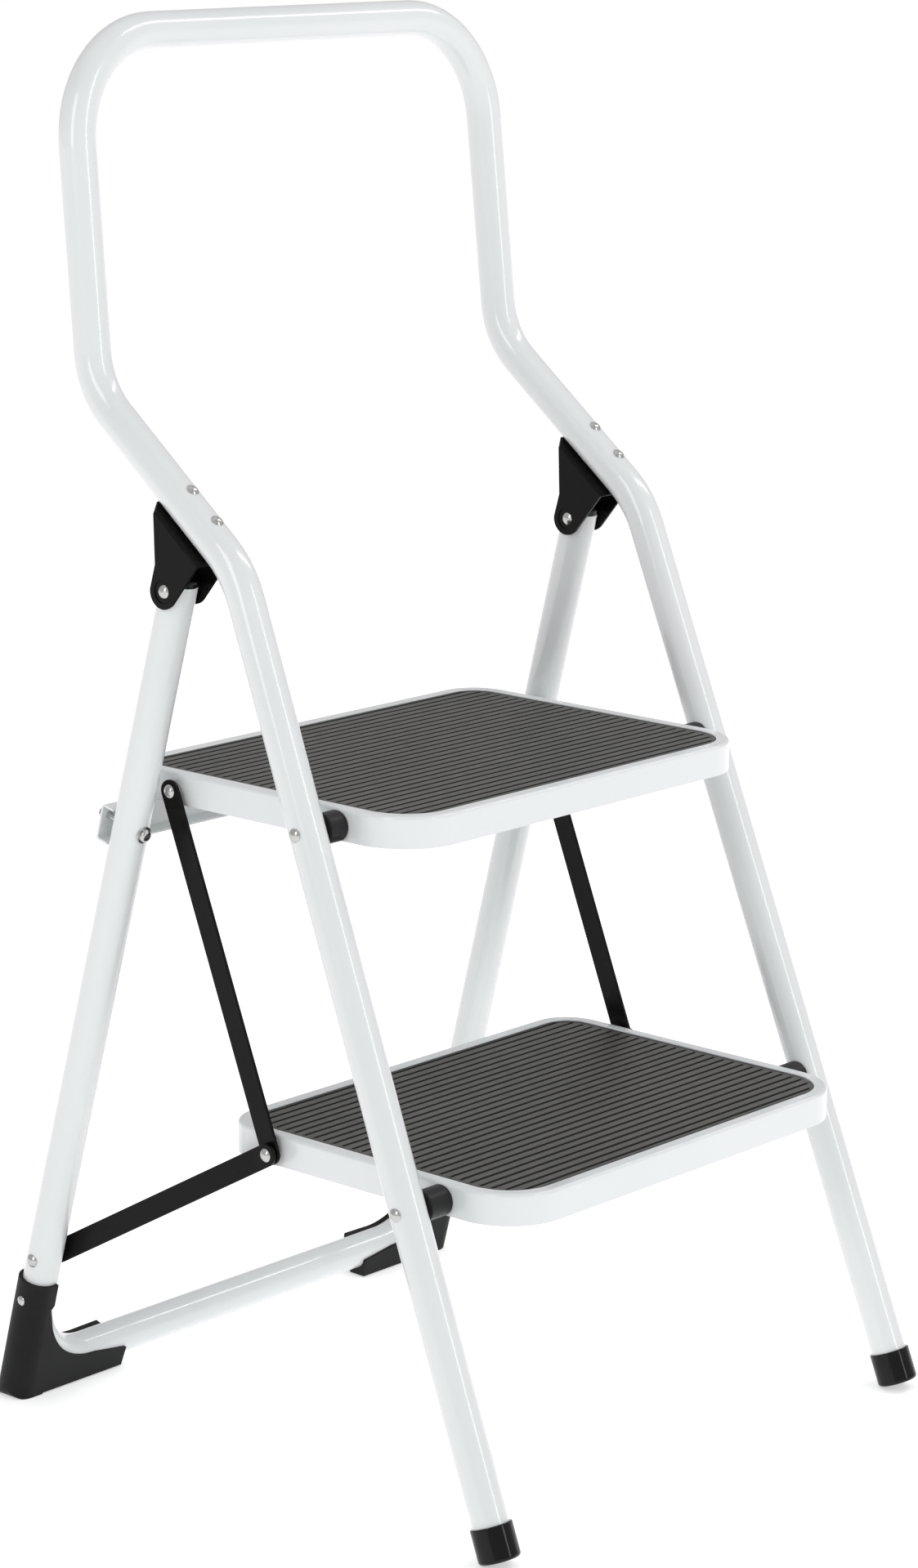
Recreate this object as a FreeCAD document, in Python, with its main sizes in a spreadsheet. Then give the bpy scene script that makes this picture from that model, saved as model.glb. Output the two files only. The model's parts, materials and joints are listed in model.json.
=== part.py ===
import FreeCAD, Part

# Folding two-step stool: a bent steel tube front frame with a high handle, a rear leg frame hinged to
# it by two brackets, two pressed steel treads with rubber mats, and flat links that fold them together.
# Millimetres. +X is the right of a person climbing it, the front faces -Y, and z = 0 is the floor.
# Most pieces come in pairs: the +X piece is modelled and the -X piece is its mirror image.

import math
import os
import re

import Sketcher
from FreeCAD import Placement, Rotation, Vector

doc = FreeCAD.newDocument("step_stool")
dims = doc.addObject("Spreadsheet::Sheet", "dims")

SIZES = (
    # steel tube of both frames
    ("tube_dia", 25.4),
    ("tube_wall", 1.2),
    # front frame: centreline of its legs and handle
    ("front_foot_half", 222.4),
    ("front_foot_depth", -233.8),
    ("low_bend_half", 210.3),
    ("low_bend_depth", 17.9),
    ("low_bend_height", 627.7),
    ("low_bend_radius", 75.0),
    ("high_bend_half", 209.6),
    ("high_bend_depth", 153.0),
    ("high_bend_height", 735.2),
    ("high_bend_radius", 60.0),
    ("handle_half", 206.5),
    ("handle_depth", 178.6),
    ("handle_height", 971.0),
    ("handle_radius", 76.0),
    # rear frame: centreline of its legs and floor bar
    ("rear_foot_half", 221.3),
    ("rear_foot_depth", 229.3),
    ("hinge_half", 210.0),
    ("hinge_depth", 73.8),
    ("hinge_height", 608.6),
    ("floor_bar_height", 19.0),
    ("floor_bar_radius", 60.0),
    ("rear_tube_past_hinge", 5.0),
    # caps on the front legs and plugs in the rear legs
    ("cap_dia", 29.0),
    ("cap_height", 24.0),
    ("cap_floor", 3.0),
    ("cap_edge", 2.5),
    ("plug_stem_dia", 22.2),
    ("plug_stem", 25.0),
    ("plug_head", 6.0),
    ("plug_edge", 3.0),
    # treads: the two trays are alike, and turn on the front legs
    ("upper_step_height", 462.0),
    ("lower_step_height", 223.2),
    ("tray_half", 185.0),
    ("tray_front", -64.2),
    ("tray_rear", 204.3),
    ("tray_top", 12.0),
    ("tray_skirt", 22.0),
    ("tray_sheet", 1.5),
    ("tray_front_corner", 44.0),
    ("tray_rear_corner", 30.0),
    ("tray_edge", 2.5),
    ("tray_border", 9.5),
    ("tray_recess", 3.4),
    ("recess_edge", 0.8),
    ("link_pivot", 150.0),
    # rubber mats
    ("mat_gap", 0.2),
    ("mat_lip", 0.9),
    ("mat_side_bead", 5.0),
    ("mat_end_bead", 2.6),
    ("groove_count", 28),
    ("groove_pitch", 8.85),
    ("groove_width", 2.2),
    ("groove_depth", 1.5),
    ("groove_first", 4.0),
    # pins, rivets and spacers
    ("fit", 0.05),
    ("pin_dia", 6.0),
    ("pin_head_dia", 9.6),
    ("pin_head", 2.4),
    ("pin_tail_dia", 9.0),
    ("pin_tail", 1.6),
    ("rivet_dia", 5.0),
    ("rivet_head_dia", 9.0),
    ("rivet_head", 2.0),
    ("small_rivet_dia", 4.0),
    ("small_rivet_head_dia", 7.0),
    ("small_rivet_head", 1.4),
    ("spacer_dia", 21.5),
    ("spacer_edge", 0.8),
    ("link_spacer_dia", 9.6),
    ("side_play", 0.2),
    # flat links
    ("link_width", 16.0),
    ("link_sheet", 2.5),
    ("link_neck", 12.0),
    ("link_end_gap", 1.0),
    ("upper_link_half", 189.8),
    ("lower_link_half", 194.2),
    ("anchor_height", 109.7),
    # hinge bracket: along and below the sloping tube, from the corner of the low bend
    ("bracket_sheet", 1.8),
    ("bracket_inner", 13.5),
    ("bracket_start", 19.5),
    ("bracket_cheek_end", 71.0),
    ("bracket_end", 80.0),
    ("bracket_tip_half", 5.0),
    ("bracket_waist_along", 48.6),
    ("bracket_waist_below", 40.4),
    ("bracket_round", 12.0),
    ("bracket_toe_turn", 35.0),
    ("bracket_fold", 1.6),
    ("dimple_dia", 16.0),
    ("dimple_depth", 0.65),
    ("bracket_rivet_one", 35.0),
    ("bracket_rivet_two", 64.0),
    # crossbar behind the rear legs, measured up the slope of those legs
    ("crossbar_low", 434.1),
    ("crossbar_high", 460.7),
    ("crossbar_depth", 11.0),
    ("crossbar_sheet", 1.5),
    ("crossbar_half", 220.0),
    ("crossbar_fold", 2.5),
    ("screw_rise", 451.6),
    ("screw_dia", 5.0),
    ("screw_head_dia", 9.5),
    ("screw_head", 3.0),
    ("screw_slot", 1.1),
    ("screw_slot_reach", 2.6),
    ("screw_slot_depth", 1.6),
    ("washer_dia", 12.0),
    ("washer_sheet", 1.0),
    ("nut_flats", 8.0),
    ("nut_height", 4.0),
    ("screw_tail", 1.5),
    # boots on the corners of the rear frame, measured in the plane of the rear legs
    ("boot_half_thickness", 14.9),
    ("boot_outer", 235.4),
    ("boot_top", 96.4),
    ("boot_front_collar", 215.5),
    ("boot_rear_collar", 212.5),
    ("boot_collar_low", 79.1),
    ("boot_notch_inner", 218.2),
    ("boot_notch", 76.1),
    ("boot_cut_start", 62.1),
    ("boot_front_cut", 55.8),
    ("boot_rear_cut", 52.5),
    ("boot_arm_end", 130.0),
    ("boot_rear_arm_end", 134.5),
    ("boot_arm_slant", 4.0),
    ("boot_arm_front", 19.3),
    ("boot_arm_rear", 27.7),
    ("boot_toe", 8.5),
    ("boot_side_round", 14.4),
    ("boot_pad_inner", 211.0),
    ("boot_pad_step", 1.0),
    ("boot_rivet_rise", 81.1),
    ("boot_rivet_root", 229.5),
)

for row, (alias, number) in enumerate(SIZES, start=1):
    dims.set("A%d" % row, alias)
    dims.set("B%d" % row, str(number))
    dims.setAlias("B%d" % row, alias)
doc.recompute()

parts = {}

RIGHT = Vector(1, 0, 0)
UP = Vector(0, 0, 1)


# ---------------------------------------------------------------- helpers

def formula(text):
    """The text with every size in it written as a reference to the spreadsheet."""
    return re.sub(r"[a-z]\w*", lambda word: "dims." + word.group(0), text)


def value(text):
    """The number that a formula of sizes gives now."""
    return float(dims.evalExpression(text))


def bind(item, prop, text):
    """Drive a property from the spreadsheet."""
    item.setExpression(prop, formula(text))


def keep(item, label):
    """Name a finished sub-part and list it for writing."""
    item.Label = label
    parts[label] = item
    return item


def both_sides(item, name):
    """Keep a +X piece and its mirror image on the -X side."""
    keep(item, name + "_right")
    twin = doc.addObject("Part::Mirroring", name + "_left")
    twin.Source = item
    twin.Normal = RIGHT
    keep(twin, name + "_left")


def group(items, label):
    """One node of several like pieces: each item and its mirror image."""
    members = []
    for item in items:
        twin = doc.addObject("Part::Mirroring", item.Name + "_twin")
        twin.Source = item
        twin.Normal = RIGHT
        members += [item, twin]
    bundle = doc.addObject("Part::Compound", label)
    bundle.Links = members
    return keep(bundle, label)


def new_sketch(body, role, offset="0"):
    """An empty sketch on one of the body's origin planes, moved along its normal by the offset."""
    plane = [item for item in body.Origin.OriginFeatures if item.Role == role][0]
    sketch = body.newObject("Sketcher::SketchObject", body.Name + "_sketch")
    sketch.AttachmentSupport = [(plane, "")]
    sketch.MapMode = "FlatFace"
    bind(sketch, "AttachmentOffset.Base.z", offset)
    return sketch


def arc_between(start, end, radius):
    """The arc that turns left from start to end, or right where the radius is negative."""
    chord = end - start
    side = Vector(-chord.y, chord.x, 0).normalize()
    rise = math.sqrt(max(radius * radius - chord.Length ** 2 / 4, 0)) * math.copysign(1, radius)
    centre = (start + end) / 2 + side * rise
    first, last = (start, end) if radius > 0 else (end, start)
    circle = Part.Circle(centre, UP, abs(radius))
    return Part.ArcOfCircle(circle, math.atan2(first.y - centre.y, first.x - centre.x),
                            math.atan2(last.y - centre.y, last.x - centre.x))


def dome_radius(start, end):
    """The radius of the arc through two points whose centre lies on the sketch's vertical axis."""
    centre = (end.x ** 2 + end.y ** 2 - start.x ** 2 - start.y ** 2) / (2 * (end.y - start.y))
    return math.hypot(start.x, start.y - centre)


def draw_loop(sketch, corners, arcs=None, domes=()):
    """A closed loop through corners given as pairs of formulas.

    arcs gives the radius of the segments that are arcs, negative where they turn right, and
    domes lists the segments that are arcs centred on the vertical axis.
    """
    arcs = arcs or {}
    first = sketch.GeometryCount
    spots = [Vector(value(across), value(up), 0) for across, up in corners]
    ends = []
    for index, start in enumerate(spots):
        end = spots[(index + 1) % len(spots)]
        radius = value(arcs[index]) if index in arcs else 0
        if index in domes:
            radius = dome_radius(start, end)
        sketch.addGeometry(arc_between(start, end, radius) if radius else Part.LineSegment(start, end))
        ends.append((2, 1) if radius < 0 else (1, 2))
    for index, (across, up) in enumerate(corners):
        follower = (index + 1) % len(corners)
        sketch.addConstraint(Sketcher.Constraint("Coincident", first + index, ends[index][1],
                                                 first + follower, ends[follower][0]))
        for kind, text in (("DistanceX", across), ("DistanceY", up)):
            drive(sketch, Sketcher.Constraint(kind, -1, 1, first + index, ends[index][0], value(text)), text)
        if index in arcs:
            radius = arcs[index].lstrip("-")
            drive(sketch, Sketcher.Constraint("Radius", first + index, value(radius)), radius)
        if index in domes:
            sketch.addConstraint(Sketcher.Constraint("PointOnObject", first + index, 3, -2))


def draw_circle(sketch, across, up, radius):
    """A circle, its centre and radius given as formulas."""
    index = sketch.GeometryCount
    sketch.addGeometry(Part.Circle(Vector(value(across), value(up), 0), UP, value(radius)))
    for kind, text in (("DistanceX", across), ("DistanceY", up)):
        drive(sketch, Sketcher.Constraint(kind, -1, 1, index, 3, value(text)), text)
    drive(sketch, Sketcher.Constraint("Radius", index, value(radius)), radius)


def drive(sketch, constraint, text):
    """Add a dimension to a sketch and drive it from the spreadsheet."""
    number = sketch.addConstraint(constraint)
    if re.search("[a-z]", text):
        sketch.setExpression("Constraints[%d]" % number, formula(text))


def extrude(body, kind, sketch, length, symmetric=False, backwards=False):
    """A Pad or Pocket of the sketch."""
    feature = body.newObject("PartDesign::" + kind, body.Name + "_" + kind.lower())
    feature.Profile = sketch
    feature.SideType = "Symmetric" if symmetric else "One side"
    feature.Reversed = backwards
    bind(feature, "Length", length)
    return feature


def soften(body, radius, wanted):
    """Fillet the edges of the body so far that pass the test."""
    doc.recompute()
    base = body.Tip
    names = ["Edge%d" % number for number, edge in enumerate(base.Shape.Edges, start=1) if wanted(edge)]
    feature = body.newObject("PartDesign::Fillet", body.Name + "_fillet")
    feature.Base = (base, names)
    bind(feature, "Radius", radius)


def ring_edge(height, radius):
    """A test for the round edge of a turned piece at this height and radius."""
    def wanted(edge):
        return (isinstance(edge.Curve, Part.Circle)
                and abs(edge.Curve.Center.z - value(height)) < 0.01
                and abs(edge.Curve.Radius - value(radius)) < 0.01)
    return wanted


def lying(**places):
    """A test for edges that lie wholly at these distances from the origin along x, y or z."""
    def wanted(edge):
        box = edge.BoundBox
        spans = {"x": (box.XMin, box.XMax), "y": (box.YMin, box.YMax), "z": (box.ZMin, box.ZMax)}
        return all(abs(abs(end) - abs(value(text))) < 0.01
                   for axis, text in places.items() for end in spans[axis])
    return wanted


def turned(name, corners, spot, direction, domes=(), rounds=()):
    """A body turned about its own Z axis, set at a spot with that axis along a direction."""
    body = doc.addObject("PartDesign::Body", name)
    sketch = new_sketch(body, "XZ_Plane")
    draw_loop(sketch, corners, domes=domes)
    solid = body.newObject("PartDesign::Revolution", name + "_turning")
    solid.Profile = sketch
    solid.ReferenceAxis = (sketch, ["V_Axis"])
    solid.Angle = 360
    for radius, height, reach in rounds:
        soften(body, radius, ring_edge(height, reach))
    body.Placement = Placement(spot, Rotation(UP, direction))
    return body


def rivet(name, spot, direction, grip, sizes="pin", tail=True):
    """A headed pin: spot is where its grip starts, and its domed head is at the far end of the grip."""
    shank = sizes + "_dia / 2"
    head = sizes + "_head_dia / 2"
    corners = [(shank, "0"), (shank, grip), (head, grip), ("0", grip + " + " + sizes + "_head")]
    if tail:
        corners = [("0", "-pin_tail"), ("pin_tail_dia / 2", "0")] + corners
    else:
        corners = [("0", "0")] + corners
    domes = [0, 4] if tail else [3]
    return turned(name, corners, spot, direction, domes=domes)


def drill(name, spot, direction, radius, depth):
    """A cylinder to cut with, half of its depth each side of the spot."""
    tool = doc.addObject("Part::Cylinder", name)
    bind(tool, "Radius", radius)
    tool.Height = depth
    start = spot - direction * (depth / 2)
    tool.Placement = Placement(start, Rotation(UP, direction))
    return tool


def cut(name, base, tools):
    """The base with all the tools taken away."""
    bundle = doc.addObject("Part::Compound", name + "_tools")
    bundle.Links = tools
    result = doc.addObject("Part::Cut", name)
    result.Base = base
    result.Tool = bundle
    return result


# ---------------------------------------------------------------- places

front_foot = Vector(value("front_foot_half"), value("front_foot_depth"), 0)
low_bend = Vector(value("low_bend_half"), value("low_bend_depth"), value("low_bend_height"))
high_bend = Vector(value("high_bend_half"), value("high_bend_depth"), value("high_bend_height"))
handle_corner = Vector(value("handle_half"), value("handle_depth"), value("handle_height"))
rear_foot = Vector(value("rear_foot_half"), value("rear_foot_depth"), 0)
hinge = Vector(value("hinge_half"), value("hinge_depth"), value("hinge_height"))

front_rise = (low_bend - front_foot).normalize()
rear_rise = (hinge - rear_foot).normalize()
rear_lean = math.degrees(math.atan2(rear_foot.y - hinge.y, hinge.z))


def at_height(foot, rise, height):
    """The point of a leg's centreline at a height above the floor."""
    return foot + rise * (height / rise.z)


upper_pivot = at_height(front_foot, front_rise, value("upper_step_height"))
lower_pivot = at_height(front_foot, front_rise, value("lower_step_height"))
anchor = at_height(rear_foot, rear_rise, value("anchor_height"))
floor_corner = at_height(rear_foot, rear_rise, value("floor_bar_height"))

# The plane of the rear legs: local X is the stool's, local Y runs up the legs, and local Z faces
# forward and down. Pieces drawn in that plane take this placement.
rear_plane = Placement(Vector(0, rear_foot.y, 0), Rotation(RIGHT, 90 + rear_lean))

# The hinge bracket's frame: local Y runs up the sloping tube from the corner of the low bend.
slope = math.degrees(math.atan2(high_bend.z - low_bend.z, high_bend.y - low_bend.y))
bracket_frame = Placement(Vector(hinge.x, low_bend.y, low_bend.z), Rotation(RIGHT, slope))
hinge_in_bracket = bracket_frame.inverse().multVec(hinge)


def cap_seat():
    """The point of the front leg's centreline where the cap's flat underside lies.

    The cap leans with the leg, so it stands on the lowest point of its rounded edge.
    """
    edge = value("cap_edge")
    reach = value("cap_dia / 2") - edge
    height = edge + reach * math.sqrt(1 - front_rise.z ** 2) - edge * front_rise.z
    return at_height(front_foot, front_rise, height)


# ---------------------------------------------------------------- tube frames

def mirror_point(point):
    return Vector(-point.x, point.y, point.z)


def bent_route(name, half, radii):
    """Centreline of a bent tube that is the same both sides: straight runs joined by arcs.

    half lists its points on the +X side from the free end, and radii the bends at all but the first.
    """
    points = half + [mirror_point(point) for point in reversed(half)]
    bends = radii + list(reversed(radii))
    edges = []
    start = points[0]
    for index, radius in enumerate(bends, start=1):
        corner = points[index]
        back = (points[index - 1] - corner).normalize()
        ahead = (points[index + 1] - corner).normalize()
        half_turn = back.getAngle(ahead) / 2
        inset = radius / math.tan(half_turn)
        bisector = (back + ahead).normalize()
        centre = corner + bisector * (radius / math.sin(half_turn))
        edges.append(Part.LineSegment(start, corner + back * inset).toShape())
        edges.append(Part.Arc(corner + back * inset, centre - bisector * radius,
                              corner + ahead * inset).toShape())
        start = corner + ahead * inset
    edges.append(Part.LineSegment(start, points[-1]).toShape())
    route = doc.addObject("Part::Feature", name + "_route")
    route.Shape = Part.Wire(edges)
    return route


def swept(name, route, radius):
    """A round bar along the route."""
    start = route.Shape.Edges[0].Vertexes[0].Point
    ahead = route.Shape.Edges[0].Vertexes[1].Point - start
    ring = doc.addObject("Part::Circle", name + "_ring")
    bind(ring, "Radius", radius)
    ring.Placement = Placement(start, Rotation(UP, ahead))
    bar = doc.addObject("Part::Sweep", name)
    bar.Sections = [ring]
    bar.Spine = (route, ["Edge%d" % number for number in range(1, len(route.Shape.Edges) + 1)])
    bar.Solid = True
    return bar


def tube(name, route):
    """The hollow tube along the route."""
    wall = doc.addObject("Part::Cut", name + "_tube")
    wall.Base = swept(name + "_outside", route, "tube_dia / 2")
    wall.Tool = swept(name + "_inside", route, "tube_dia / 2 - tube_wall")
    return wall


def pair_of_drills(name, spot, direction, radius, depth):
    """The same hole in the +X and -X legs."""
    return [drill(name + "_right", spot, direction, radius, depth),
            drill(name + "_left", mirror_point(spot), mirror_point(direction), radius, depth)]


def front_frame():
    """Both front legs and the handle in one bent tube, with holes for the step pins and rivets."""
    start = cap_seat() + front_rise * value("cap_floor")
    radii = [value("low_bend_radius"), value("high_bend_radius"), value("handle_radius")]
    route = bent_route("front", [start, low_bend, high_bend, handle_corner], radii)
    holes = []
    for name, pivot in (("upper", upper_pivot), ("lower", lower_pivot)):
        holes += pair_of_drills(name + "_step_hole", pivot, RIGHT, "pin_dia / 2 + fit", 40)
    for name, along in (("one", "bracket_rivet_one"), ("two", "bracket_rivet_two")):
        spot = bracket_frame.multVec(Vector(0, value(along), 0))
        direction = bracket_frame.Rotation.multVec(UP)
        holes += pair_of_drills("bracket_hole_" + name, spot, direction, "rivet_dia / 2 + fit", 40)
    keep(cut("front_frame", tube("front", route), holes), "front_frame")


def rear_frame():
    """Both rear legs and the bar on the floor in one bent tube. Returns its centreline."""
    start = hinge + rear_rise * value("rear_tube_past_hinge")
    route = bent_route("rear", [start, floor_corner], [value("floor_bar_radius")])
    holes = pair_of_drills("hinge_hole", hinge, RIGHT, "pin_dia / 2 + fit", 40)
    holes += pair_of_drills("anchor_hole", anchor, RIGHT, "pin_dia / 2 + fit", 40)
    holes += pair_of_drills("screw_hole", screw_spot(0), rear_plane.Rotation.multVec(UP),
                            "screw_dia / 2 + fit", 40)
    holes += pair_of_drills("boot_rivet_hole", boot_rivet_spot(), RIGHT, "small_rivet_dia / 2 + fit", 20)
    keep(cut("rear_frame", tube("rear", route), holes), "rear_frame")
    return route


# ---------------------------------------------------------------- caps, plugs and hinge

def front_caps():
    """Cups over the ends of the front legs."""
    bore = "tube_dia / 2 + fit"
    corners = [("0", "0"), ("cap_dia / 2", "0"), ("cap_dia / 2", "cap_height"),
               (bore, "cap_height"), (bore, "cap_floor"), ("0", "cap_floor")]
    rounds = [("cap_edge", "0", "cap_dia / 2"), ("spacer_edge", "cap_height", "cap_dia / 2")]
    both_sides(turned("front_cap", corners, cap_seat(), front_rise, rounds=rounds), "front_cap")


def rear_leg_plugs():
    """Headed plugs in the open tops of the rear legs, drilled for the hinge pins."""
    corners = [("0", "-plug_stem"), ("plug_stem_dia / 2", "-plug_stem"), ("plug_stem_dia / 2", "0"),
               ("tube_dia / 2", "0"), ("tube_dia / 2", "plug_head"), ("0", "plug_head")]
    seat = hinge + rear_rise * value("rear_tube_past_hinge")
    plug = turned("plug_blank", corners, seat, rear_rise, rounds=[("plug_edge", "plug_head", "tube_dia / 2")])
    hole = drill("plug_hole", hinge, RIGHT, "pin_dia / 2 + fit", 40)
    both_sides(cut("rear_leg_plug", plug, [hole]), "rear_leg_plug")


def hinge_brackets():
    """Folded steel channels below the sloping tubes: a web on the tube and two cheeks for the pin.

    The web runs on past the cheeks and narrows to a tip. The cheeks are dished round the pin, so that
    they meet the leg only there.
    """
    body = doc.addObject("PartDesign::Body", "hinge_bracket")
    along = "%.4f" % hinge_in_bracket.y
    level = "%.4f" % hinge_in_bracket.z
    toe = math.radians(value("bracket_toe_turn"))
    toe_along = "%s + bracket_round * %.4f" % (along, math.cos(toe))
    toe_level = "%s - bracket_round * %.4f" % (level, math.sin(toe))
    outer = "bracket_inner + bracket_sheet"
    top = "-tube_dia / 2"
    ceiling = "-tube_dia / 2 - bracket_sheet"
    below = level + " - 2 * bracket_round"

    cheeks = new_sketch(body, "YZ_Plane")
    draw_loop(cheeks, [("bracket_start", top), (along + " - bracket_round", level), (toe_along, toe_level),
                       ("bracket_waist_along", "-bracket_waist_below"), ("bracket_cheek_end", ceiling),
                       ("bracket_end", ceiling), ("bracket_end", top)],
              arcs={1: "bracket_round"})
    extrude(body, "Pad", cheeks, "2 * (%s)" % outer, symmetric=True)
    soften(body, "bracket_fold", lying(x=outer, z=top))
    inside = new_sketch(body, "YZ_Plane")
    draw_loop(inside, [("bracket_start - 20", ceiling), ("bracket_start - 20", below),
                       ("bracket_end + 20", below), ("bracket_end + 20", ceiling)])
    extrude(body, "Pocket", inside, "2 * bracket_inner", symmetric=True)
    taper = new_sketch(body, "XY_Plane")
    for side in ("", "-"):
        edge = "%s(%s)" % (side, outer)
        beyond = "%s(%s + 1)" % (side, outer)
        tip = side + "bracket_tip_half"
        draw_loop(taper, [(edge, "bracket_cheek_end"), (beyond, "bracket_cheek_end"),
                          (beyond, "bracket_end + 1"), (tip, "bracket_end + 1"), (tip, "bracket_end")])
    extrude(body, "Pocket", taper, "4 * tube_dia", symmetric=True)

    for side in ("", "-"):
        boss = new_sketch(body, "YZ_Plane", "%s(bracket_inner + bracket_sheet / 2)" % side)
        draw_circle(boss, along, level, "dimple_dia / 2 - dimple_depth")
        extrude(body, "Pad", boss, "bracket_sheet / 2 + dimple_depth", backwards=not side)
        dish = new_sketch(body, "YZ_Plane", "%s(%s)" % (side, outer))
        draw_circle(dish, along, level, "dimple_dia / 2")
        extrude(body, "Pocket", dish, "dimple_depth", backwards=bool(side))
    pin_hole = new_sketch(body, "YZ_Plane")
    draw_circle(pin_hole, along, level, "pin_dia / 2")
    extrude(body, "Pocket", pin_hole, "3 * bracket_inner", symmetric=True)
    rivet_holes = new_sketch(body, "XY_Plane", "-tube_dia / 2 - 2 * bracket_sheet")
    for spot in ("bracket_rivet_one", "bracket_rivet_two"):
        draw_circle(rivet_holes, "0", spot, "rivet_dia / 2")
    extrude(body, "Pocket", rivet_holes, "4 * bracket_sheet", backwards=True)
    body.Placement = bracket_frame
    both_sides(body, "hinge_bracket")


def bracket_rivets():
    """Two rivets each side, through the sloping tube and the web of its bracket."""
    rivets = []
    direction = bracket_frame.Rotation.multVec(UP)
    for name in ("one", "two"):
        foot = Vector(0, value("bracket_rivet_" + name), value("-tube_dia / 2 - bracket_sheet"))
        rivets.append(rivet("bracket_rivet_" + name, bracket_frame.multVec(foot), direction,
                            "tube_dia + bracket_sheet", sizes="rivet"))
    group(rivets, "bracket_rivets")


def hinge_pins():
    """Pins through the cheeks of the brackets and the tops of the rear legs."""
    seat = "(bracket_inner + bracket_sheet - dimple_depth)"
    both_sides(rivet("hinge_pin", hinge - RIGHT * value(seat), RIGHT, "2 * " + seat), "hinge_pin")


# ---------------------------------------------------------------- treads

def draw_tread_loop(sketch, inset, side_inset=None):
    """The rounded outline of a tread, drawn in by the inset, at the sides by the side inset."""
    side_inset = side_inset or inset
    half = "tray_half - (%s)" % side_inset
    front = "tray_front + (%s)" % inset
    rear = "tray_rear - (%s)" % inset
    front_round = "(tray_front_corner - (%s))" % side_inset
    rear_round = "(tray_rear_corner - (%s))" % side_inset
    front_flat = "%s - %s" % (half, front_round)
    rear_flat = "%s - %s" % (half, rear_round)
    front_end = "%s + %s" % (front, front_round)
    rear_end = "%s - %s" % (rear, rear_round)
    draw_loop(sketch, [("-(%s)" % front_flat, front), (front_flat, front), (half, front_end),
                       (half, rear_end), (rear_flat, rear), ("-(%s)" % rear_flat, rear),
                       ("-(%s)" % half, rear_end), ("-(%s)" % half, front_end)],
              arcs={1: front_round, 3: rear_round, 5: rear_round, 7: front_round})


def tread_tray(name, pivot):
    """A pressed steel tray: skirts all round, a raised border and a sunken middle for the mat.

    Its origin is on the line of its front pivots, midway between them.
    """
    body = doc.addObject("PartDesign::Body", name)
    floor = "tray_top - tray_skirt"
    outside = new_sketch(body, "XY_Plane", floor)
    draw_tread_loop(outside, "0")
    extrude(body, "Pad", outside, "tray_skirt")
    soften(body, "tray_edge", lying(z="tray_top"))

    middle = new_sketch(body, "XY_Plane", "tray_top")
    draw_tread_loop(middle, "tray_border")
    extrude(body, "Pocket", middle, "tray_recess")
    reach = value("tray_half - tray_border") + 0.01
    on_top = lying(z="tray_top")
    soften(body, "recess_edge", lambda edge: on_top(edge) and inside_recess(edge, reach))

    hollow = new_sketch(body, "XY_Plane", floor)
    draw_tread_loop(hollow, "tray_sheet")
    extrude(body, "Pocket", hollow, "tray_skirt - tray_recess - tray_sheet", backwards=True)
    channel = new_sketch(body, "XY_Plane", floor)
    draw_tread_loop(channel, "tray_sheet")
    draw_tread_loop(channel, "tray_border - tray_sheet")
    extrude(body, "Pocket", channel, "tray_skirt - tray_sheet", backwards=True)

    holes = new_sketch(body, "YZ_Plane")
    draw_circle(holes, "0", "0", "pin_dia / 2 + fit")
    draw_circle(holes, "link_pivot", "0", "pin_dia / 2")
    extrude(body, "Pocket", holes, "3 * tray_half", symmetric=True)
    body.Placement = Placement(Vector(0, pivot.y, pivot.z), Rotation())
    keep(body, name)


def inside_recess(edge, reach):
    """Whether an edge is part of the recess and not of the tray's outer border."""
    box = edge.BoundBox
    front = value("tray_front + tray_border") - 0.01
    rear = value("tray_rear - tray_border") + 0.01
    return -reach < box.XMin and box.XMax < reach and front < box.YMin and box.YMax < rear


def tread_mat(name, pivot):
    """A rubber mat in the tray's recess, with grooves across it that stop short of its edges."""
    blank = doc.addObject("PartDesign::Body", name + "_blank")
    outline = new_sketch(blank, "XY_Plane", "tray_top - tray_recess")
    draw_tread_loop(outline, "tray_border + mat_gap")
    extrude(blank, "Pad", outline, "tray_recess - mat_lip")

    field = doc.addObject("PartDesign::Body", name + "_field")
    patch = new_sketch(field, "XY_Plane", "tray_top - mat_lip - groove_depth")
    draw_tread_loop(patch, "tray_border + mat_end_bead", "tray_border + mat_side_bead")
    extrude(field, "Pad", patch, "2 * groove_depth")

    bars = []
    for index in range(int(value("groove_count"))):
        bar = doc.addObject("Part::Box", name + "_groove")
        bind(bar, "Length", "2 * tray_half")
        bind(bar, "Width", "groove_width")
        bind(bar, "Height", "3 * groove_depth")
        bind(bar, "Placement.Base.x", "-tray_half")
        bind(bar, "Placement.Base.y", "tray_rear - tray_border - groove_first - groove_width / 2"
                                      " - %d * groove_pitch" % index)
        bind(bar, "Placement.Base.z", "tray_top - mat_lip - 2 * groove_depth")
        bars.append(bar)
    bundle = doc.addObject("Part::Compound", name + "_bars")
    bundle.Links = bars
    grooves = doc.addObject("Part::Common", name + "_grooves")
    grooves.Base = field
    grooves.Tool = bundle
    mat = doc.addObject("Part::Cut", name)
    mat.Base = blank
    mat.Tool = grooves
    mat.Placement = Placement(Vector(0, pivot.y, pivot.z), Rotation())
    keep(mat, name)


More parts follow.
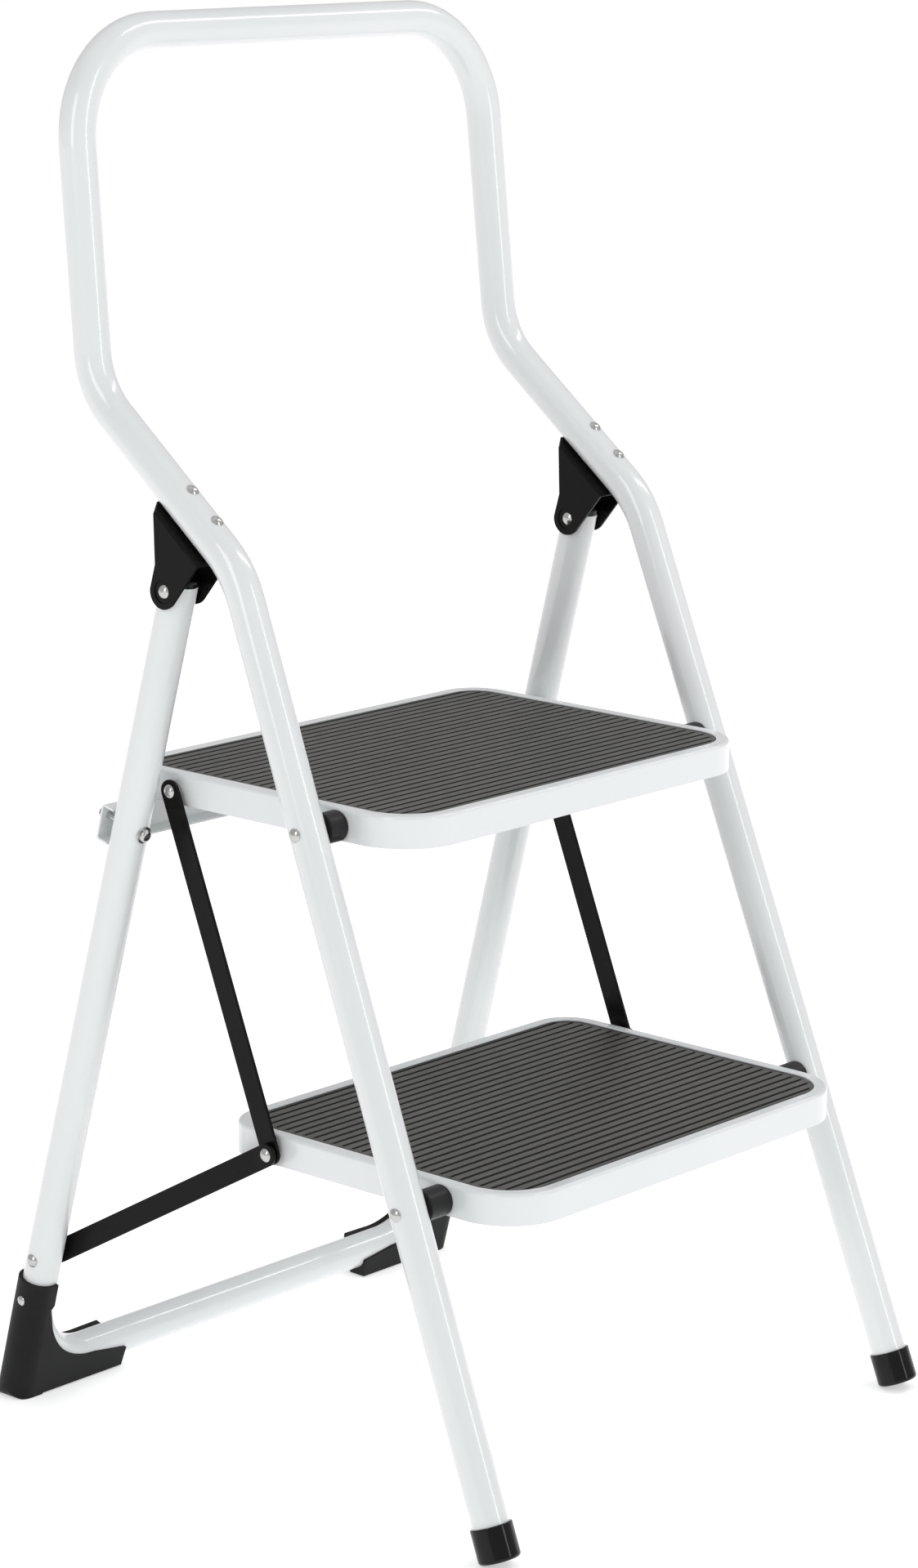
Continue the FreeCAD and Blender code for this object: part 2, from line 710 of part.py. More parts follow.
def step_spacers_and_pins():
    """What carries each tread on the front legs: a spacer from the leg to the tray, and a pin."""
    for name, pivot in (("upper", upper_pivot), ("lower", lower_pivot)):
        start = value("tray_half + side_play")
        length = "%.3f" % (pivot.x - value("tube_dia / 2") - start)
        bore = "pin_dia / 2 + fit"
        corners = [(bore, "0"), ("spacer_dia / 2", "0"), ("spacer_dia / 2", length), (bore, length)]
        rounds = [("spacer_edge", "0", "spacer_dia / 2"), ("spacer_edge", length, "spacer_dia / 2")]
        spot = Vector(start, pivot.y, pivot.z)
        both_sides(turned(name + "_step_spacer", corners, spot, RIGHT, rounds=rounds), name + "_step_spacer")
        seat = value("tray_half - tray_sheet - side_play")
        grip = "%.3f" % (pivot.x + value("tube_dia / 2") - seat)
        pin = rivet(name + "_step_pin", Vector(seat, pivot.y, pivot.z), RIGHT, grip)
        both_sides(pin, name + "_step_pin")


# ---------------------------------------------------------------- links

def flat_link(name, top, bottom, splay="0"):
    """A flat steel strip with round ends, hung from its top pivot and drilled at both pivots.

    The splay is how far outwards the strip slants between its two flat ends.
    """
    body = doc.addObject("PartDesign::Body", name)
    drop = bottom - top
    length = "%.4f" % math.hypot(drop.y, drop.z)
    depth = "link_sheet + " + splay
    strip = new_sketch(body, "YZ_Plane")
    draw_loop(strip, [("-link_width / 2", "-" + length), ("link_width / 2", "-" + length),
                      ("link_width / 2", "0"), ("-link_width / 2", "0")])
    extrude(body, "Pad", strip, depth)
    for level in ("0", "-" + length):
        end = new_sketch(body, "YZ_Plane")
        draw_circle(end, "0", level, "link_width / 2")
        extrude(body, "Pad", end, depth)
    if value(splay):
        bends = ("-link_neck", "link_neck - " + length)
        beyond = "link_sheet + 1 + " + splay
        sides = new_sketch(body, "XZ_Plane")
        draw_loop(sides, [("link_sheet", bends[0]), (depth, bends[1]), (beyond, bends[1]),
                          (beyond, "link_width"), ("link_sheet", "link_width")])
        draw_loop(sides, [("0", bends[0]), ("-1", bends[0]), ("-1", "-link_width - " + length),
                          (splay, "-link_width - " + length), (splay, bends[1])])
        extrude(body, "Pocket", sides, "2 * link_width", symmetric=True)
    holes = new_sketch(body, "YZ_Plane")
    for level in ("0", "-" + length):
        draw_circle(holes, "0", level, "pin_dia / 2 + fit")
    extrude(body, "Pocket", holes, "20 * link_sheet", symmetric=True)
    lean = math.degrees(math.atan2(drop.y, -drop.z))
    body.Placement = Placement(top, Rotation(RIGHT, lean))
    both_sides(body, name)


def links():
    """Upper links join the two treads, and lower links join the lower tread to the rear legs.

    The upper links hang clear of the treads on spacers. The lower links lie outside them and slant
    out to the rear legs.
    """
    rear_of_upper = Vector(0, upper_pivot.y + value("link_pivot"), upper_pivot.z)
    rear_of_lower = Vector(0, lower_pivot.y + value("link_pivot"), lower_pivot.z)
    upper_plane = RIGHT * value("upper_link_half")
    lower_plane = RIGHT * value("lower_link_half")
    leg_face = anchor.x - value("tube_dia / 2")
    end_plane = RIGHT * (leg_face - value("link_end_gap + link_sheet"))
    foot = Vector(0, anchor.y, anchor.z)
    flat_link("upper_link", rear_of_upper + upper_plane, rear_of_lower + upper_plane)
    flat_link("lower_link", rear_of_lower + lower_plane, foot + lower_plane,
              splay="%.3f" % (end_plane - lower_plane).x)

    outside_tray = value("tray_half")
    spacer = "upper_link_half - side_play - tray_half"
    link_ring("upper_link_spacer", rear_of_upper + RIGHT * outside_tray, spacer)
    link_ring("lower_link_spacer", rear_of_lower + RIGHT * outside_tray, spacer)
    between_links = value("upper_link_half + link_sheet + side_play / 2")
    link_ring("lower_link_washer", rear_of_lower + RIGHT * between_links,
              "lower_link_half - upper_link_half - link_sheet - side_play")

    seat = RIGHT * value("tray_half - tray_sheet")
    grip = "%s + link_sheet + side_play - tray_half + tray_sheet"
    for name, spot in (("upper_link", rear_of_upper), ("lower_link", rear_of_lower)):
        both_sides(rivet(name + "_pin", spot + seat, RIGHT, grip % (name + "_half")), name + "_pin")
    outer_face = foot + end_plane + RIGHT * value("link_sheet")
    both_sides(rivet("link_end_rivet", outer_face, -RIGHT, "link_sheet", tail=False), "link_end_rivet")
    both_sides(rivet("anchor_rivet", foot + RIGHT * leg_face, RIGHT, "tube_dia", tail=False), "anchor_rivet")


def link_ring(name, spot, length):
    """A plain ring on a link's pin."""
    corners = [("pin_dia / 2", "0"), ("link_spacer_dia / 2", "0"), ("link_spacer_dia / 2", length),
               ("pin_dia / 2", length)]
    both_sides(turned(name, corners, spot, RIGHT), name)


# ---------------------------------------------------------------- crossbar

def screw_spot(level):
    """The point of a crossbar screw's axis at a level in front of the rear legs' centreline."""
    slant = (hinge.x - rear_foot.x) / math.hypot(hinge.z, rear_foot.y - hinge.y)
    rise = value("screw_rise")
    return rear_plane.multVec(Vector(rear_foot.x + slant * rise, rise, level))


def rear_crossbar():
    """A folded channel behind the rear legs, open forward: the upper tread rests on its top edge."""
    body = doc.addObject("PartDesign::Body", "rear_crossbar")
    back = "-tube_dia / 2 - crossbar_depth"
    front = "-tube_dia / 2"
    face = back + " + crossbar_sheet"
    section = new_sketch(body, "YZ_Plane")
    draw_loop(section, [("crossbar_low", back), ("crossbar_high", back), ("crossbar_high", front),
                        ("crossbar_high - crossbar_sheet", front), ("crossbar_high - crossbar_sheet", face),
                        ("crossbar_low + crossbar_sheet", face), ("crossbar_low + crossbar_sheet", front),
                        ("crossbar_low", front)])
    extrude(body, "Pad", section, "2 * crossbar_half", symmetric=True)
    for level in ("crossbar_low", "crossbar_high"):
        soften(body, "crossbar_fold", lying(y=level, z=back))
    for level in ("crossbar_low + crossbar_sheet", "crossbar_high - crossbar_sheet"):
        soften(body, "crossbar_fold - crossbar_sheet", lying(y=level, z=face))
    holes = new_sketch(body, "XY_Plane", back)
    across = "%.4f" % screw_spot(0).x
    for side in ("", "-"):
        draw_circle(holes, side + across, "screw_rise", "screw_dia / 2 + fit")
    extrude(body, "Pocket", holes, "2 * crossbar_sheet", symmetric=True)
    body.Placement = rear_plane
    keep(body, "rear_crossbar")


def crossbar_fasteners():
    """A pan head screw with a washer in front of each rear leg, and a nut behind the crossbar."""
    ahead = rear_plane.Rotation.multVec(UP)
    seat = value("tube_dia / 2")
    washer = [("screw_dia / 2 + fit", "0"), ("washer_dia / 2", "0"), ("washer_dia / 2", "washer_sheet"),
              ("screw_dia / 2 + fit", "washer_sheet")]
    group([turned("crossbar_washer", washer, screw_spot(seat), ahead)], "crossbar_washers")

    tip = "-tube_dia - crossbar_depth - nut_height - screw_tail"
    pan = [("0", tip), ("screw_dia / 2", tip), ("screw_dia / 2", "washer_sheet"),
           ("screw_head_dia / 2", "washer_sheet"), ("screw_head_dia / 2", "washer_sheet + screw_head"),
           ("0", "washer_sheet + screw_head")]
    rounds = [("screw_head * 0.75", "washer_sheet + screw_head", "screw_head_dia / 2")]
    screw = turned("crossbar_screw", pan, screw_spot(seat), ahead, rounds=rounds)
    for along, across in (("screw_slot_reach", "screw_slot / 2"), ("screw_slot / 2", "screw_slot_reach")):
        slot = new_sketch(screw, "XY_Plane", "washer_sheet + screw_head")
        draw_loop(slot, [("-" + along, "-" + across), (along, "-" + across), (along, across),
                         ("-" + along, across)])
        extrude(screw, "Pocket", slot, "screw_slot_depth")
    group([screw], "crossbar_screws")

    nut = doc.addObject("PartDesign::Body", "crossbar_nut")
    hexagon = new_sketch(nut, "XY_Plane")
    corner = value("nut_flats / 2") / math.cos(math.radians(30))
    turns = [math.radians(60 * number) for number in range(6)]
    draw_loop(hexagon, [("%.4f" % (corner * math.cos(turn)), "%.4f" % (corner * math.sin(turn)))
                        for turn in turns])
    draw_circle(hexagon, "0", "0", "screw_dia / 2")
    extrude(nut, "Pad", hexagon, "nut_height")
    behind = value("-tube_dia / 2 - crossbar_depth - nut_height")
    nut.Placement = Placement(screw_spot(behind), Rotation(UP, ahead))
    group([nut], "crossbar_nuts")


# ---------------------------------------------------------------- boots

def boot_rivet_spot():
    """The middle of the rear tube's outer wall at the height of the boot's rivet."""
    local = Vector(value("boot_rivet_root"), value("boot_rivet_rise"), 0)
    return rear_plane.multVec(local)


def rear_boots(route):
    """Moulded boots on the rear frame's floor corners.

    Each wraps the leg and the end of the floor bar, open on the inside of the bend. Its front wall is
    cut low and its rear wall stands higher, and its underside is flat on the floor.
    """
    body = doc.addObject("PartDesign::Body", "boot_blank")
    bend_x = "%.4f" % (floor_corner.x - value("floor_bar_radius"))
    bend_y = "%.4f" % (rear_plane.inverse().multVec(floor_corner).y + value("floor_bar_radius"))
    for cut_radius, arm_top, arm_end, collar, backwards in (
            ("boot_front_cut", "boot_arm_front", "boot_arm_end", "boot_front_collar", False),
            ("boot_rear_cut", "boot_arm_rear", "boot_rear_arm_end", "boot_rear_collar", True)):
        reach = math.sqrt(value(cut_radius) ** 2 - (value(bend_y) - value("boot_cut_start")) ** 2)
        cut_x = "%s + %.4f" % (bend_x, reach)
        wall = new_sketch(body, "XY_Plane")
        draw_loop(wall, [(arm_end + " + boot_arm_slant", "-boot_toe"), ("boot_outer", "-boot_toe"),
                         ("boot_outer", "boot_top"), (collar, "boot_top"), (collar, "boot_collar_low"),
                         (cut_x if backwards else "boot_notch_inner", "boot_notch"),
                         (cut_x, "boot_cut_start"), (bend_x, "%s - %s" % (bend_y, cut_radius)),
                         (arm_end, arm_top)],
                  arcs={6: "-" + cut_radius})
        extrude(body, "Pad", wall, "boot_half_thickness", backwards=backwards)

    # the floor, and a little above it under the arm: in this plane the floor slopes as the legs lean
    rise = math.tan(math.radians(rear_lean))
    for start, clear, length in (("0", "0", "2 * boot_outer"), ("0", "boot_pad_step", "boot_pad_inner")):
        ground = new_sketch(body, "YZ_Plane", start)
        draw_loop(ground, floor_wedge(clear, rise))
        extrude(body, "Pocket", ground, length, backwards=True)
    soften(body, "boot_toe", is_toe_edge)
    for side in ("", "-"):
        corner = new_sketch(body, "XZ_Plane")
        near = side + "(boot_half_thickness - boot_side_round)"
        beyond = side + "(boot_half_thickness + 1)"
        draw_loop(corner, [("boot_outer", near),
                           ("boot_outer - boot_side_round", side + "boot_half_thickness"),
                           ("boot_outer - boot_side_round", beyond), ("boot_outer + 1", beyond),
                           ("boot_outer + 1", near)], arcs={0: side + "boot_side_round"})
        extrude(body, "Pocket", corner, "4 * boot_top", symmetric=True)
    body.Placement = rear_plane
    cavity = swept("boot_cavity", route, "tube_dia / 2 + 2 * fit")
    hole = drill("boot_hole", boot_rivet_spot(), RIGHT, "small_rivet_dia / 2", 30)
    both_sides(cut("rear_boot", body, [cavity, hole]), "rear_boot")

    grip = "boot_outer - boot_rivet_root"
    stud = rivet("boot_rivet", boot_rivet_spot(), RIGHT, grip, sizes="small_rivet", tail=False)
    group([stud], "boot_rivets")


def floor_wedge(clear, rise):
    """What lies under the floor, or under a height just clear of it, seen along X."""
    reach = 30
    return [("%s + %.4f" % (clear, -reach * rise), "%d" % -reach), ("%s + %.4f" % (clear, reach * rise),
            "%d" % reach), ("%d" % -reach, "%d" % reach), ("%d" % -reach, "%d" % -reach)]


def is_toe_edge(edge):
    """Whether this is the boot's lowest outer edge, along its thickness."""
    box = edge.BoundBox
    outer = value("boot_outer")
    return abs(box.XMin - outer) < 0.01 and abs(box.XMax - outer) < 0.01 and box.YMax < value("boot_toe")


# ---------------------------------------------------------------- build and write

front_frame()
rear_route = rear_frame()
front_caps()
rear_leg_plugs()
hinge_brackets()
bracket_rivets()
hinge_pins()
for step_name, step_pivot in (("upper_step", upper_pivot), ("lower_step", lower_pivot)):
    tread_tray(step_name + "_tray", step_pivot)
    tread_mat(step_name + "_mat", step_pivot)
step_spacers_and_pins()
links()
rear_crossbar()
crossbar_fasteners()
rear_boots(rear_route)
doc.recompute()

broken = [item.Label for item in doc.Objects if "Invalid" in item.State or "Error" in item.State]
broken += [label for label, item in parts.items() if item.Shape.isNull() or not item.Shape.isValid()]
if broken:
    raise RuntimeError("these objects failed: " + ", ".join(sorted(set(broken))))

os.makedirs("parts", exist_ok=True)
for label, item in parts.items():
    item.Shape.exportStep(os.path.join("parts", label + ".step"))
    box = item.Shape.BoundBox
    print("%-26s %2d solids %9.0f mm3  x %.1f %.1f  y %.1f %.1f  z %.1f %.1f"
          % (label, len(item.Shape.Solids), item.Shape.Volume,
             box.XMin, box.XMax, box.YMin, box.YMax, box.ZMin, box.ZMax))
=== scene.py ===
import json
import math

import bpy
from mathutils import Matrix, Vector

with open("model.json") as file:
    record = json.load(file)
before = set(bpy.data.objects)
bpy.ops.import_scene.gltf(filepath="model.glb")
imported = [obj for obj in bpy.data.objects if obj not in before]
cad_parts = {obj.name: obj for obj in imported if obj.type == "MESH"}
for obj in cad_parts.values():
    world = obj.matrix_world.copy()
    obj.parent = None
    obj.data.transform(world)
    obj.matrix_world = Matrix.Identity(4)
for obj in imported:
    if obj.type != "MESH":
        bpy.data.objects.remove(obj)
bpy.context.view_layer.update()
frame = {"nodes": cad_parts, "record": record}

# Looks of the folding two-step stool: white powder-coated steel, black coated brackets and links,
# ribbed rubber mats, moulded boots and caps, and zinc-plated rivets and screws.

NODES = frame["nodes"]
MM = 0.001

# The rubber mats, in millimetres: their outline, and their grooves counted from the rear edge.
MAT_WIDTH = 350.6
MAT_LENGTH = 249.1
FIRST_GROOVE = 3.8
GROOVE_PITCH = 8.85
GROOVE_HALF = 1.1
# Width of the painted shade on the ribs beside each groove.
SHOULDER_SHADE_WIDTH = 1.5
MAT_CORNER = 27.0
# Width and fade of the painted shadow line just inside the mat's outline.
RIM_SHADE_WIDTH = 2.0
RIM_SHADE_FADE = 1.0

# Rounded edges of thin steel.
LINK_ROUND = 0.35 * MM
BRACKET_ROUND = 0.3 * MM
JOIN_WITHIN = 0.005 * MM
SHARPEST_FLAT = math.radians(40)

# The camera, and the point that the lights face, in metres.
CAMERA_SPOT = (-2.2322, -1.9423, 1.1341)
CAMERA_YAW = math.radians(48.886)
CAMERA_PITCH = math.radians(12.988)
CAMERA_ROLL = math.radians(0.685)
CAMERA_LENS = 99.18
CAMERA_SENSOR = 36.0
MIDDLE = (0, 0, 0.5)
FLOOR_REACH = 60.0


# ---------------------------------------------------------------- node helpers

class Shader:
    """A material being wired: short calls for the node trees that all the finishes share."""

    def __init__(self, name):
        self.material = bpy.data.materials.new(name)
        self.material.use_nodes = True
        self.tree = self.material.node_tree
        self.surface = self.tree.nodes["Principled BSDF"]
        self.place = self.add("ShaderNodeTexCoord").outputs["Object"]

    def add(self, kind, **settings):
        node = self.tree.nodes.new(kind)
        for key, setting in settings.items():
            setattr(node, key, setting)
        return node

    def put(self, setting, socket):
        """Link an output to a socket, or give the socket a plain value."""
        if isinstance(setting, bpy.types.NodeSocket):
            self.tree.links.new(setting, socket)
        else:
            socket.default_value = setting

    def fill(self, node, **settings):
        """Set a node's inputs by name, with outputs or plain values."""
        for name, setting in settings.items():
            self.put(setting, node.inputs[name.replace("_", " ")])
        return node

    def stretched(self, scale):
        """Object coordinates scaled by a different amount along each axis."""
        node = self.fill(self.add("ShaderNodeMapping"), Vector=self.place, Scale=scale)
        return node.outputs["Vector"]

    def noise(self, scale, detail=3.0, roughness=0.5, vector=None):
        node = self.fill(self.add("ShaderNodeTexNoise"), Vector=vector or self.place, Scale=scale,
                         Detail=detail, Roughness=roughness)
        return node.outputs["Fac"]

    def ramp(self, factor, low, high, start=0.0, end=1.0):
        """The factor's span from low to high, mapped on to start to end and clamped."""
        node = self.add("ShaderNodeMapRange", clamp=True)
        for socket, setting in zip(node.inputs, (factor, low, high, start, end)):
            self.put(setting, socket)
        return node.outputs[0]

    def blend(self, factor, first, second):
        """A colour between two, each an output or a plain colour."""
        node = self.add("ShaderNodeMix", data_type="RGBA")
        for index, setting in ((0, factor), (6, first), (7, second)):
            self.put((*setting, 1.0) if isinstance(setting, tuple) else setting, node.inputs[index])
        return node.outputs[2]

    def maths(self, operation, first, second):
        node = self.add("ShaderNodeMath", operation=operation)
        self.put(first, node.inputs[0])
        self.put(second, node.inputs[1])
        return node.outputs[0]

    def vector_maths(self, operation, first, second=(0.0, 0.0, 0.0)):
        node = self.add("ShaderNodeVectorMath", operation=operation)
        self.put(first, node.inputs[0])
        self.put(second, node.inputs[1])
        return node.outputs["Value" if operation == "LENGTH" else "Vector"]

    def bump(self, height, depth):
        """Relief from a height map, its full depth in metres."""
        node = self.fill(self.add("ShaderNodeBump"), Strength=1.0, Distance=depth, Height=height)
        return node.outputs["Normal"]


# ---------------------------------------------------------------- finishes

def white_powder_coat():
    """Gloss white powder coat: faint orange peel, slow tint drift and a few handling marks."""
    coat = Shader("white_powder_coat")
    drift = coat.ramp(coat.noise(5.0, 3.0), 0.35, 0.65)
    tint = coat.blend(drift, (0.745, 0.768, 0.775), (0.765, 0.785, 0.79))
    marks = coat.ramp(coat.noise(90.0, 6.0, 0.7), 0.70, 0.84, 0.0, 0.25)
    tint = coat.blend(marks, tint, (0.70, 0.71, 0.70))
    rough = coat.ramp(coat.noise(18.0, 4.0), 0.4, 0.7, 0.20, 0.23)
    peel = coat.noise(520.0, 2.0, 0.4)
    coat.fill(coat.surface, Base_Color=tint, Roughness=rough, Normal=coat.bump(peel, 0.000005))
    coat.fill(coat.surface, Coat_Weight=0.6, Coat_Roughness=0.04, IOR=1.5)
    return coat.material


def black_powder_coat():
    """Satin black coat on folded steel, with a few fine rubs."""
    coat = Shader("black_powder_coat")
    drift = coat.ramp(coat.noise(12.0, 3.0), 0.35, 0.7)
    tint = coat.blend(drift, (0.0036, 0.0033, 0.0032), (0.0050, 0.0046, 0.0044))
    rub = coat.ramp(coat.noise(170.0, 5.0, 0.7), 0.68, 0.82, 0.0, 0.4)
    tint = coat.blend(rub, tint, (0.020, 0.019, 0.018))
    rough = coat.ramp(coat.noise(40.0, 4.0), 0.3, 0.7, 0.24, 0.29)
    peel = coat.noise(700.0, 2.0, 0.4)
    coat.fill(coat.surface, Base_Color=tint, Roughness=rough, Normal=coat.bump(peel, 0.000015))
    coat.fill(coat.surface, IOR=1.5, Specular_IOR_Level=0.12)
    return coat.material


def boot_plastic():
    """Charcoal moulded plastic with a fine spark-eroded texture."""
    shell = Shader("boot_plastic")
    drift = shell.ramp(shell.noise(14.0, 3.0), 0.35, 0.65)
    tint = shell.blend(drift, (0.0080, 0.0081, 0.0083), (0.0105, 0.0106, 0.0109))
    grain = shell.noise(1500.0, 3.0, 0.6)
    scuff = shell.ramp(shell.noise(200.0, 5.0, 0.7), 0.68, 0.82, 0.0, 0.4)
    tint = shell.blend(scuff, tint, (0.026, 0.027, 0.028))
    rough = shell.ramp(grain, 0.3, 0.7, 0.46, 0.56)
    shell.fill(shell.surface, Base_Color=tint, Roughness=rough, Normal=shell.bump(grain, 0.00004))
    shell.fill(shell.surface, IOR=1.48, Specular_IOR_Level=0.17)
    return shell.material


def gloss_cap_plastic():
    """Shiny black plastic with faint handling marks."""
    shell = Shader("gloss_cap_plastic")
    drift = shell.ramp(shell.noise(40.0, 3.0), 0.35, 0.65)
    tint = shell.blend(drift, (0.0030, 0.0030, 0.0032), (0.0050, 0.0050, 0.0052))
    rough = shell.ramp(shell.noise(90.0, 5.0, 0.65), 0.4, 0.75, 0.10, 0.20)
    shell.fill(shell.surface, Base_Color=tint, Roughness=rough, IOR=1.5, Specular_IOR_Level=0.22,
               Normal=shell.bump(shell.noise(300.0, 2.0), 0.00002))
    return shell.material


def spacer_plastic():
    """Plain black plastic with fine turning marks."""
    shell = Shader("spacer_plastic")
    rings = shell.noise(1.0, 2.0, vector=shell.stretched((2600.0, 120.0, 120.0)))
    tint = shell.blend(rings, (0.012, 0.012, 0.013), (0.018, 0.018, 0.019))
    rough = shell.ramp(rings, 0.3, 0.7, 0.36, 0.48)
    shell.fill(shell.surface, Base_Color=tint, Roughness=rough, Normal=shell.bump(rings, 0.00004))
    shell.fill(shell.surface, IOR=1.5, Specular_IOR_Level=0.22)
    return shell.material


def past_outline(rubber, spread):
    """How far a point lies outside the mat's rounded outline, in millimetres: below zero inside it."""
    half = Vector((MAT_WIDTH / 2, MAT_LENGTH / 2, 0.0))
    corner = Vector((MAT_CORNER, MAT_CORNER, 0.0))
    centred = rubber.vector_maths("SUBTRACT", spread, (0.5, 0.5, 0.0))
    sized = rubber.vector_maths("MULTIPLY", rubber.vector_maths("ABSOLUTE", centred), 2 * half)
    beyond = rubber.vector_maths("SUBTRACT", sized, half - corner)
    reach = rubber.vector_maths("LENGTH", rubber.vector_maths("MAXIMUM", beyond))
    return rubber.maths("SUBTRACT", reach, MAT_CORNER)


def groove_distance(rubber, level):
    """How far a point lies from the middle of the nearest groove, in groove pitches."""
    from_rear = rubber.maths("MULTIPLY", level, -MAT_LENGTH / GROOVE_PITCH)
    along = rubber.maths("ADD", from_rear, (MAT_LENGTH - FIRST_GROOVE) / GROOVE_PITCH)
    return rubber.maths("PINGPONG", along, 0.5)


def mat_rubber():
    """Charcoal rubber: fine grain and dust on the rib tops, with painted shade that turns the grooves
    black and darkens the ribs beside them, and a painted shadow line along the edge.
    """
    rubber = Shader("mat_rubber")
    # Near-black, used for the painted shade in the grooves and the painted shadow along the mat's edge.
    black = (0.004, 0.004, 0.004)
    spread = rubber.add("ShaderNodeTexCoord").outputs["Generated"]
    level = rubber.fill(rubber.add("ShaderNodeSeparateXYZ"), Vector=spread).outputs
    # Painted shade: the colour goes to black towards the groove floors, and darker on the ribs beside
    # each groove.
    groove_shade_depth = rubber.ramp(level["Z"], 0.55, 0.97)
    near_groove = groove_distance(rubber, level["Y"])
    shoulder_shade = rubber.ramp(near_groove, GROOVE_HALF / GROOVE_PITCH,
                           (GROOVE_HALF + SHOULDER_SHADE_WIDTH) / GROOVE_PITCH, 0.40, 1.0)
    drift = rubber.ramp(rubber.noise(9.0, 4.0, 0.6), 0.35, 0.68)
    tint = rubber.blend(drift, (0.068, 0.065, 0.061), (0.080, 0.077, 0.072))
    dust = rubber.ramp(rubber.noise(300.0, 4.0, 0.7), 0.50, 0.78, 0.0, 0.25)
    tint = rubber.blend(dust, tint, (0.118, 0.115, 0.109))
    tint = rubber.blend(rubber.maths("MULTIPLY", groove_shade_depth, shoulder_shade), black, tint)
    # Painted shadow: a black line just inside the mat's rounded outline, where the gap to the tray
    # falls in shade.
    rim_shade = rubber.ramp(past_outline(rubber, spread), -RIM_SHADE_WIDTH - RIM_SHADE_FADE, -RIM_SHADE_WIDTH)
    tint = rubber.blend(rim_shade, tint, black)
    grain = rubber.noise(1800.0, 3.0, 0.6)
    rough = rubber.ramp(rubber.noise(90.0, 4.0, 0.6), 0.3, 0.7, 0.44, 0.54)
    rubber.fill(rubber.surface, Base_Color=tint, Roughness=rough, IOR=1.5,
                Normal=rubber.bump(grain, 0.00005))
    return rubber.material


def zinc_plate():
    """Bright zinc plate with drawn and chromated streaks."""
    metal = Shader("zinc_plate")
    streaks = metal.noise(1.0, 3.0, vector=metal.stretched((300.0, 1400.0, 1400.0)))
    tint = metal.blend(metal.ramp(streaks, 0.3, 0.7), (0.46, 0.46, 0.45), (0.62, 0.62, 0.61))
    rough = metal.ramp(metal.noise(700.0, 4.0, 0.6), 0.3, 0.7, 0.14, 0.28)
    metal.fill(metal.surface, Base_Color=tint, Roughness=rough, Metallic=1.0,
               Normal=metal.bump(streaks, 0.00003))
    return metal.material


FINISHES = {
    "white_coat": white_powder_coat(),
    "black_coat": black_powder_coat(),
    "mat_rubber": mat_rubber(),
    "boot_plastic": boot_plastic(),
    "cap_plastic": gloss_cap_plastic(),
    "spacer_plastic": spacer_plastic(),
    "zinc": zinc_plate(),
}

for subpart in frame["record"]["subparts"]:
    slots = NODES[subpart["node"]].data.materials
    slots.clear()
    slots.append(FINISHES[subpart["material_slot"]])


# ---------------------------------------------------------------- rounded edges

def round_edges(names, radius):
    """Round a thin piece's sharp edges, so that they catch the light as coated steel does."""
    for name in names:
        piece = NODES[name]
        join = piece.modifiers.new("join_faces", "WELD")
        join.merge_threshold = JOIN_WITHIN
        bevel = piece.modifiers.new("rounded_edges", "BEVEL")
        bevel.width = radius
        bevel.segments = 2
        bevel.limit_method = "ANGLE"
        bevel.angle_limit = SHARPEST_FLAT
        bevel.harden_normals = True
        bevel.use_clamp_overlap = True


LINKS = ("upper_link_left", "upper_link_right", "lower_link_left", "lower_link_right")
BRACKETS = ("hinge_bracket_left", "hinge_bracket_right")
round_edges(LINKS, LINK_ROUND)
round_edges(BRACKETS, BRACKET_ROUND)


# ---------------------------------------------------------------- floor, light and camera

def studio_floor():
    """A plain pale floor that lies far past the stool on every side."""
    mesh = bpy.data.meshes.new("studio_floor")
    corners = [(across * FLOOR_REACH, along * FLOOR_REACH, 0)
               for across, along in ((-1, -1), (1, -1), (1, 1), (-1, 1))]
    mesh.from_pydata(corners, [], [(0, 1, 2, 3)])
    floor = bpy.data.objects.new("studio_floor", mesh)
    bpy.context.scene.collection.objects.link(floor)
    paper = Shader("studio_paper")
    shade = paper.blend(paper.noise(0.8, 3.0), (0.90, 0.90, 0.90), (0.93, 0.93, 0.93))
    paper.fill(paper.surface, Base_Color=shade, Roughness=0.9, Specular_IOR_Level=0.0,
               Emission_Color=(1.0, 1.0, 1.0, 1.0), Emission_Strength=0.46)
    mesh.materials.append(paper.material)


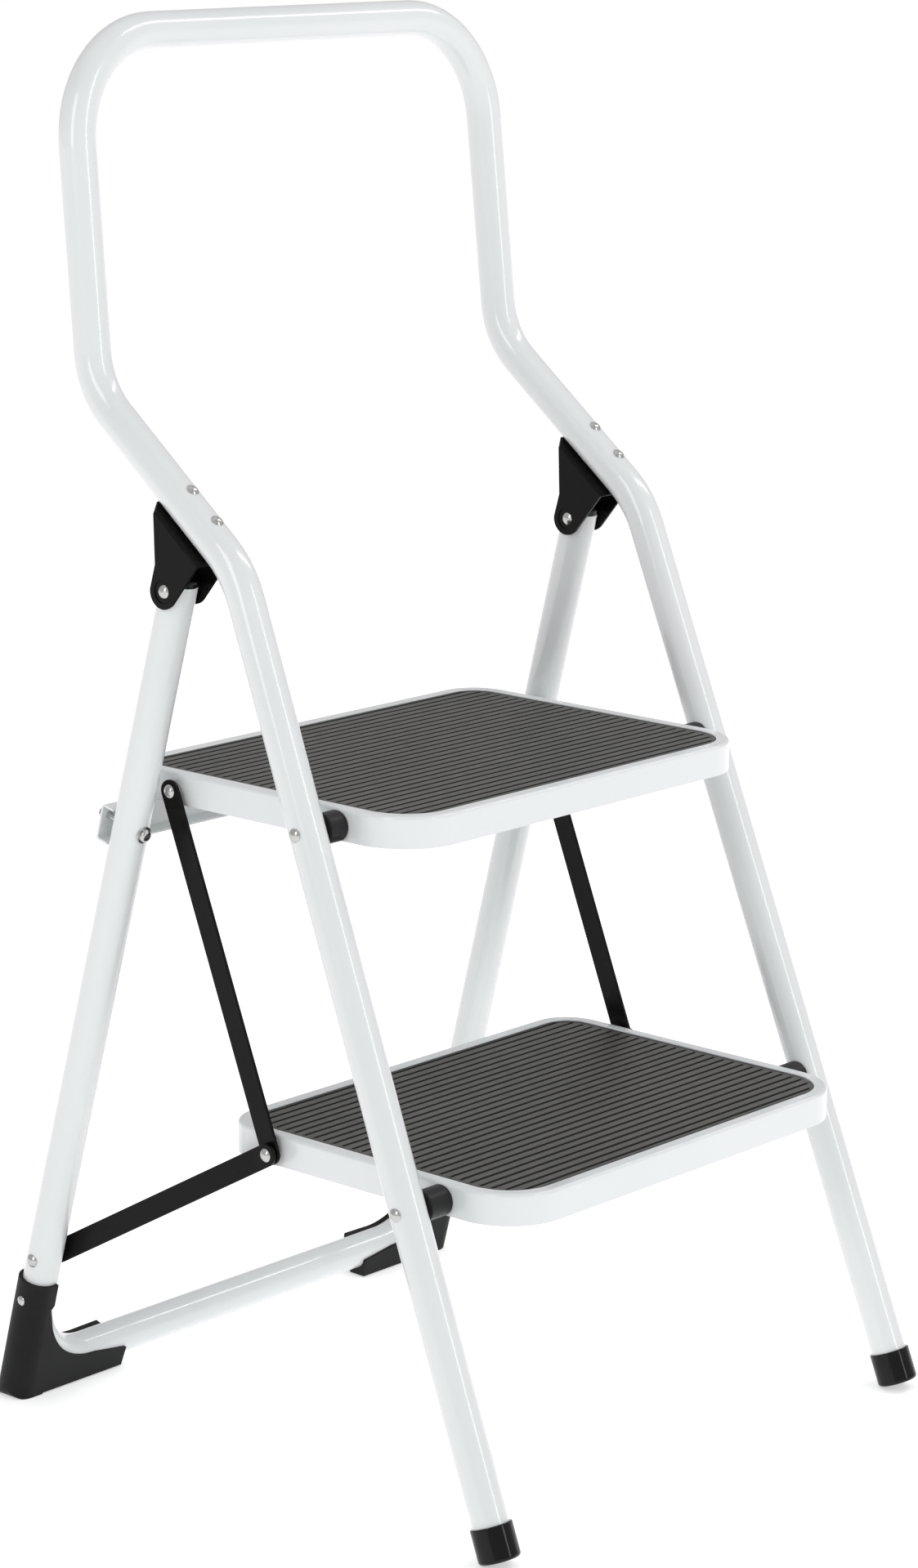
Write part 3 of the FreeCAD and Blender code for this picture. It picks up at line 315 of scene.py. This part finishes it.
def softbox(name, spot, aim, size, power):
    """A rectangular area light that faces a point."""
    lamp = bpy.data.lights.new(name, "AREA")
    lamp.shape = "RECTANGLE"
    lamp.size, lamp.size_y = size
    lamp.energy = power
    holder = bpy.data.objects.new(name, lamp)
    holder.location = spot
    holder.rotation_euler = (Vector(aim) - Vector(spot)).to_track_quat("-Z", "Y").to_euler()
    bpy.context.scene.collection.objects.link(holder)


def studio_light():
    """A white surround, a tall box each side of the camera, and two lights overhead."""
    world = bpy.data.worlds.new("studio")
    world.use_nodes = True
    sky = world.node_tree.nodes["Background"]
    sky.inputs["Color"].default_value = (1.0, 1.0, 1.0, 1.0)
    sky.inputs["Strength"].default_value = 0.60
    bpy.context.scene.world = world
    softbox("key_box", (-3.2, -0.6, 2.2), MIDDLE, (0.9, 2.4), 20.0)
    softbox("front_box", (0.6, -3.4, 1.8), MIDDLE, (0.4, 2.4), 16.0)
    softbox("top_box", (0, 0.4, 3.2), MIDDLE, (2.4, 2.4), 4.0)
    softbox("top_strip", (2.4, -1.2, 3.0), (2.4, 0.0, 0.5), (3.2, 0.30), 26.0)


def studio_camera():
    """The camera stands in front on the -X side, a little above the handle, and looks slightly down."""
    level = Vector((math.sin(CAMERA_YAW), math.cos(CAMERA_YAW), 0))
    ahead = math.cos(CAMERA_PITCH) * level - math.sin(CAMERA_PITCH) * Vector((0, 0, 1))
    across = Vector((level.y, -level.x, 0))
    upward = across.cross(ahead)
    right = math.cos(CAMERA_ROLL) * across + math.sin(CAMERA_ROLL) * upward
    top = math.cos(CAMERA_ROLL) * upward - math.sin(CAMERA_ROLL) * across
    lens = bpy.data.cameras.new("studio_camera")
    lens.sensor_width = CAMERA_SENSOR
    lens.lens = CAMERA_LENS
    lens.clip_end = 200.0
    holder = bpy.data.objects.new("studio_camera", lens)
    turn = Matrix((right, top, -ahead)).transposed()
    holder.matrix_world = Matrix.Translation(CAMERA_SPOT) @ turn.to_4x4()
    bpy.context.scene.collection.objects.link(holder)
    bpy.context.scene.camera = holder


studio_floor()
studio_light()
studio_camera()
bpy.context.scene.view_settings.view_transform = "Standard"
